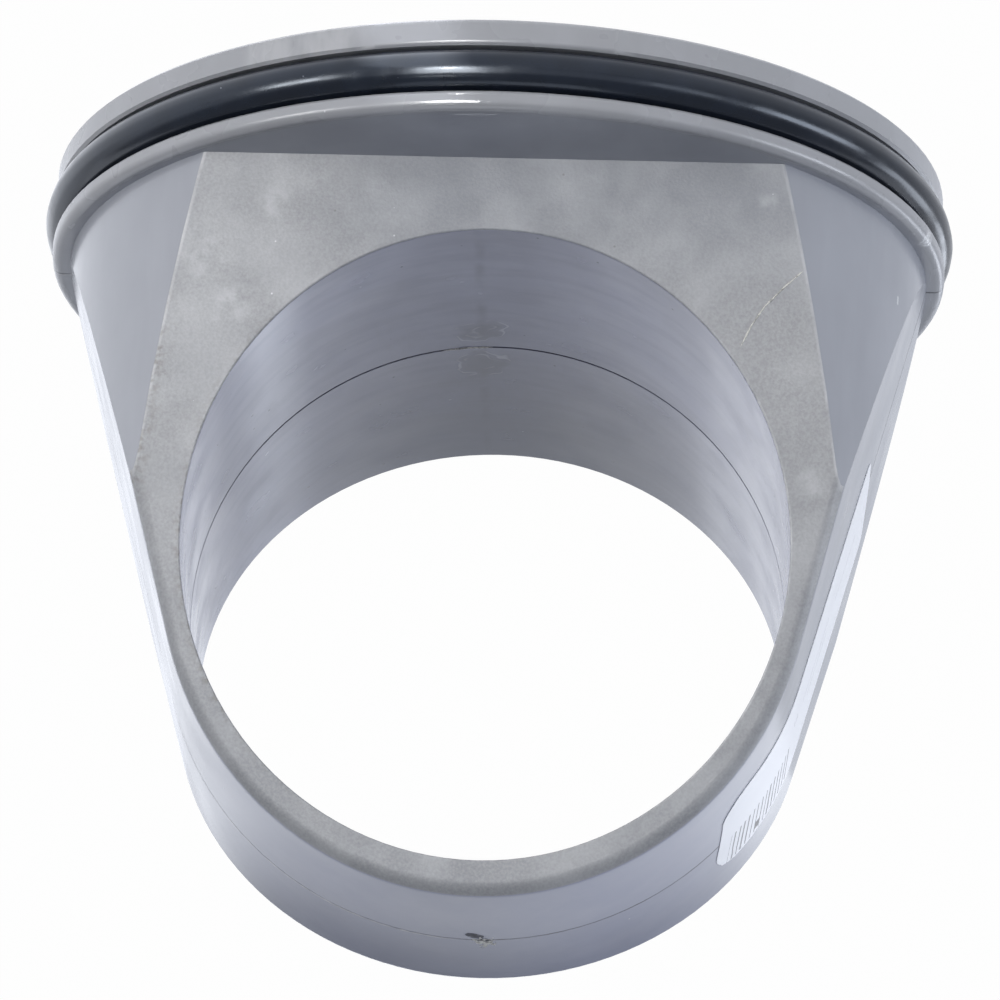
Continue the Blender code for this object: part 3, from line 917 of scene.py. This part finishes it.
class CLEANOUT_OT_studio(bpy.types.Operator):
    """Set up the pale floor, the soft lamps, the white room and the camera."""
    bl_idname = "cleanout.studio"
    bl_label = "Studio"

    def execute(self, context):
        settings = context.scene.studio_settings
        self.floor(settings)
        self.lamps(settings)
        self.room(context, settings)
        self.table_card()
        self.camera(context)
        context.scene.view_settings.view_transform = "Standard"
        return {"FINISHED"}

    def floor(self, settings):
        """The pale floor, which takes the plug's shadow and shows in its reflections."""
        bpy.ops.object.select_all(action="DESELECT")
        bpy.ops.mesh.primitive_grid_add(
            x_subdivisions=8, y_subdivisions=8, size=16.0, location=(0.0, 0.0, 0.0))
        ground = bpy.context.object
        ground.name = "studio_floor"
        material, tree, shader, place = new_material("matt_white_studio_board")
        tree.nodes.remove(shader)
        paint = add(tree, "ShaderNodeBsdfDiffuse", {"Color": (*settings.floor_colour, 1.0)})
        path = add(tree, "ShaderNodeLightPath")
        glossy = path.outputs["Is Glossy Ray"]
        # Reflections see a cool floor that is brighter on the side of the main lamps
        apart = add(tree, "ShaderNodeSeparateXYZ", {"Vector": place})
        shine = add(tree, "ShaderNodeMapRange", {
            "Value": apart.outputs["X"], "From Min": -0.12, "From Max": 0.06,
            "To Min": 0.72, "To Max": 1.5})
        # Painted reflection: the strip in front lengthens over the floor, towards the plug, as a
        # glossy floor would show it
        forward = add(tree, "ShaderNodeMath", {
            0: apart.outputs["Y"], 1: -1.0}, operation="MULTIPLY")
        slope = add(tree, "ShaderNodeMath", {0: apart.outputs["X"], 1: forward}, operation="DIVIDE")
        in_front = add(tree, "ShaderNodeMath", {0: forward, 1: 0.0}, operation="GREATER_THAN")
        streak = near_line(tree, slope, STREAK_SLOPE, 0.075, 0.15, level=2.6)
        streak = add(tree, "ShaderNodeMath", {0: streak, 1: in_front}, operation="MULTIPLY")
        shine = add(tree, "ShaderNodeMath", {0: shine, 1: streak}, operation="ADD")
        strength = add(tree, "ShaderNodeMix", {
            "Factor": glossy, "A": 1.0, "B": shine}, data_type="FLOAT")
        hue = add(tree, "ShaderNodeMix", {
            "Factor": glossy, 6: WHITE, 7: COOL_WHITE}, data_type="RGBA")
        glow = add(tree, "ShaderNodeEmission", {"Color": hue, "Strength": strength})
        # The camera sees the floor nearly white, with a trace of the shadow
        share = add(tree, "ShaderNodeMath", {
            0: path.outputs["Is Camera Ray"], 1: 0.985}, operation="MULTIPLY")
        soft = add(tree, "ShaderNodeMath", {
            0: path.outputs["Is Diffuse Ray"], 1: settings.floor_glow}, operation="MULTIPLY")
        for part in (glossy, soft):
            share = add(tree, "ShaderNodeMath", {0: share, 1: part}, operation="MAXIMUM")
        both = add(tree, "ShaderNodeMixShader", {0: share, 1: paint, 2: glow})
        link(tree, tree.nodes["Material Output"], {"Surface": both})
        set_material(ground, material)

    def table_card(self):
        """A card behind the plug that only reflections see: white, and shaded beside the plug.

        The plug in the photograph lies on a white table with the back of its body, and its
        walls reflect the table's shaded part near the plug.
        """
        bpy.ops.object.select_all(action="DESELECT")
        bpy.ops.mesh.primitive_grid_add(
            x_subdivisions=4, y_subdivisions=4, size=CARD_SIZE,
            location=(0.0, CARD_DISTANCE, CARD_SIZE / 2 + MM),
            rotation=(math.radians(90.0), 0.0, 0.0))
        card = bpy.context.object
        card.name = "table_card"
        bpy.ops.object.transform_apply(location=True, rotation=True, scale=True)
        material, tree, shader, place = new_material("shaded_white_table")
        tree.nodes.remove(shader)
        shaded = add(tree, "ShaderNodeMapping", {
            "Vector": place, "Location": (0.0, 0.0, -SHADE_HEIGHT / SHADE_HIGH),
            "Scale": (1.0 / SHADE_WIDE, 0.0, 1.0 / SHADE_HIGH)})
        shaded = add(tree, "ShaderNodeVectorMath", {0: shaded}, operation="LENGTH")
        shaded = add(tree, "ShaderNodeMapRange", {
            "Value": shaded, "From Min": 0.66, "From Max": 1.25, "To Min": 0.125, "To Max": 1.375,
        }, interpolation_type="SMOOTHSTEP")
        glow = add(tree, "ShaderNodeEmission", {"Color": COOL_WHITE, "Strength": shaded})
        clear = add(tree, "ShaderNodeBsdfTransparent")
        # The bore looks past the card, and so does everything seen from behind
        away = add(tree, "ShaderNodeVectorMath", {
            0: place, 1: (0.0, CARD_DISTANCE, BORE_HEIGHT)}, operation="DISTANCE")
        hole = add(tree, "ShaderNodeMath", {0: away, 1: CARD_HOLE}, operation="LESS_THAN")
        height = add(tree, "ShaderNodeSeparateXYZ", {"Vector": place}).outputs["Z"]
        below = add(tree, "ShaderNodeMath", {0: height, 1: BORE_HEIGHT}, operation="LESS_THAN")
        for part in (below, add(tree, "ShaderNodeNewGeometry").outputs["Backfacing"]):
            hole = add(tree, "ShaderNodeMath", {0: hole, 1: part}, operation="MAXIMUM")
        both = add(tree, "ShaderNodeMixShader", {0: hole, 1: glow, 2: clear})
        link(tree, tree.nodes["Material Output"], {"Surface": both})
        set_material(card, material)
        card.visible_camera = card.visible_diffuse = card.visible_shadow = False
        card.visible_transmission = False

    def lamps(self, settings):
        """Soft boxes, the main one low in front, and a tall strip that only reflections see."""
        neutral, cool = (1.0, 1.0, 1.0), (0.86, 0.91, 1.0)
        for name, place, wide, high, share, colour in (
            ("front_softbox", (0.42, -1.97, 0.1), 0.18, 0.12, 1.47, neutral),
            ("front_left_softbox", (0.77, -0.70, 0.10), 0.3, 0.18, 0.69, neutral),
            ("front_strip", (0.245, -1.17, 0.25), 0.28, 0.48, 2.0, neutral),
            ("front_right_softbox", (-0.9, -0.9, 0.2), 0.4, 0.3, 0.17, cool),
            ("upper_softbox", (0.42, -1.5, 1.2), 0.16, 0.10, 0.25, neutral),
            ("right_softbox", (-1.75, -0.3, 0.25), 1.0, 0.48, 2.4, cool),
            ("right_back_softbox", (-1.5, 0.9, 0.4), 0.8, 0.5, 1.0, cool),
            ("back_softbox", (-1.0, 1.6, 0.2), 0.6, 0.38, 0.5, cool),
            ("left_softbox", (1.8, 0.0, 0.25), 1.0, 0.48, 0.1, cool),
            ("top_softbox", (0.0, -0.3, 1.8), 1.0, 1.0, 0.85, cool),
            ("back_top_softbox", (0.0, 1.2, 1.2), 0.8, 0.6, 0.78, cool),
        ):
            lamp = bpy.data.lights.new(name, "AREA")
            lamp.shape = "RECTANGLE"
            lamp.size, lamp.size_y = wide, high
            lamp.energy = settings.lamp_power * share
            lamp.color = colour
            holder = bpy.data.objects.new(name, lamp)
            holder.location = place
            holder.visible_camera = False
            holder.visible_diffuse = not name.endswith("strip")
            aim = Vector((0.0, 0.0, 0.07)) - holder.location
            holder.rotation_euler = aim.to_track_quat("-Z", "Y").to_euler()
            bpy.context.scene.collection.objects.link(holder)

    def room(self, context, settings):
        """A white room with a dimmer ceiling. The camera sees it pure white."""
        world = bpy.data.worlds.new("white_room")
        context.scene.world = world
        world.use_nodes = True
        tree = world.node_tree
        path = add(tree, "ShaderNodeLightPath")
        way = add(tree, "ShaderNodeTexCoord").outputs["Generated"]
        height = add(tree, "ShaderNodeSeparateXYZ", {"Vector": way}).outputs["Z"]
        shine = add(tree, "ShaderNodeMapRange", {
            "Value": height, "From Min": 0.30, "From Max": 0.45, "To Min": 1.1, "To Max": 0.45})
        light = add(tree, "ShaderNodeMapRange", {
            "Value": height, "From Min": 0.15, "From Max": 0.6,
            "To Min": settings.sky_level, "To Max": 0.3 * settings.sky_level})
        level = add(tree, "ShaderNodeMix", {
            "Factor": path.outputs["Is Glossy Ray"], "A": light, "B": shine}, data_type="FLOAT")
        level = add(tree, "ShaderNodeMath", {
            0: level, 1: path.outputs["Is Camera Ray"]}, operation="MAXIMUM")
        # Reflections of the room are cool, and the backdrop behind the plug is white
        hue = add(tree, "ShaderNodeMix", {
            "Factor": path.outputs["Is Camera Ray"], 6: COOL_WHITE, 7: WHITE}, data_type="RGBA")
        link(tree, tree.nodes["Background"], {"Strength": level, "Color": hue})

    def camera(self, context):
        """The photograph's camera, found from the edges of the plug."""
        lens = bpy.data.cameras.new("photo_camera")
        lens.sensor_width = 36.0
        lens.lens = 326.29
        lens.clip_start, lens.clip_end = 0.05, 30.0
        viewer = bpy.data.objects.new("photo_camera", lens)
        right = Vector((-0.999543, 0.011439, -0.027972))
        up = Vector((0.022129, -0.353345, -0.935233))
        turn = Matrix((right, up, right.cross(up))).transposed()
        viewer.matrix_world = Matrix.LocRotScale(
            Vector((-0.03428, -1.48968, 0.61970)), turn.to_quaternion(), None)
        context.scene.collection.objects.link(viewer)
        context.scene.camera = viewer


PIECES = ("moulded_plug", "moulding_marks", "seal_ring", "paper_label", "studio")

SETTINGS = {
    "plug_settings": PlugSettings, "ring_settings": RingSettings,
    "label_settings": LabelSettings, "studio_settings": StudioSettings,
}


class CLEANOUT_PT_panel(bpy.types.Panel):
    """Lists the pieces in the sidebar of the 3D view."""
    bl_idname = "CLEANOUT_PT_panel"
    bl_label = "Cleanout Plug"
    bl_space_type = "VIEW_3D"
    bl_region_type = "UI"
    bl_category = "Cleanout Plug"

    def draw(self, context):
        for piece in PIECES:
            self.layout.operator("cleanout." + piece)
        for group in SETTINGS:
            settings = getattr(context.scene, group)
            box = self.layout.box()
            for name in settings.bl_rna.properties.keys():
                if name not in ("rna_type", "name"):
                    box.prop(settings, name)


CLASSES = (
    *SETTINGS.values(), CLEANOUT_OT_moulded_plug, CLEANOUT_OT_moulding_marks,
    CLEANOUT_OT_seal_ring, CLEANOUT_OT_paper_label, CLEANOUT_OT_studio, CLEANOUT_PT_panel,
)


def register():
    for item in CLASSES:
        bpy.utils.register_class(item)
    for name, group in SETTINGS.items():
        setattr(bpy.types.Scene, name, PointerProperty(type=group))


def unregister():
    for name in SETTINGS:
        delattr(bpy.types.Scene, name)
    for item in reversed(CLASSES):
        bpy.utils.unregister_class(item)


def main():
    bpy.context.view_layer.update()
    register()
    for piece in PIECES:
        getattr(bpy.ops.cleanout, piece)()


if __name__ == "__main__":
    main()
